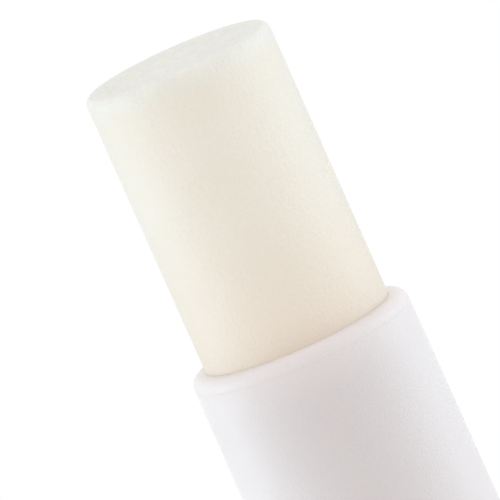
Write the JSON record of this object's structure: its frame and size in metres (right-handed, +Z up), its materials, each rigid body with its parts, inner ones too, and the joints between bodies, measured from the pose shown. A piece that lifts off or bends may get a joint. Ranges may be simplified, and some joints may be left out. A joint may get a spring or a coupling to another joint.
{
  "type": "twist-up lip balm stick",
  "caption": "Slim round lip balm stick: turning the ribbed dial at the foot drives a screw that winds a cream balm bar out of the round-lipped white plastic tube.",
  "frame": {"origin": "middle of the dial's foot, on the surface that the stick stands on", "axes": "+Z up along the tube, towards the balm; -Y towards the picture's camera; the guide ribs lie 18 degrees behind +X and -X"},
  "size_m": [0.016, 0.016, 0.0817],
  "materials": {
    "tube": "satin white moulded polypropylene",
    "dial": "satin white moulded polypropylene",
    "mechanism": "natural moulded polypropylene",
    "balm": "cream waxy balm, smooth, faintly translucent"
  },
  "bodies": {
    "tube": {"tube_body": "tube"},
    "dial": {"twist_dial": "dial", "screw_spindle": "mechanism"},
    "elevator": {"elevator_cup": "mechanism", "balm_stick": "balm"}
  },
  "joints": [
    {"name": "dial_turn", "type": "hinge", "parent": "tube", "child": "dial", "pos_m": [0, 0, 0.0034], "axis": [0, 0, 1], "range_deg": [-1746, 1476]},
    {"name": "balm_rise", "type": "slide", "parent": "tube", "child": "elevator", "axis": [0, 0, 1], "range_m": [-0.0194, 0.0164]}
  ],
  "couplings": [
    {"joint": "dial_turn", "follows": "balm_rise", "rad_per_m": 1570.8}
  ]
}
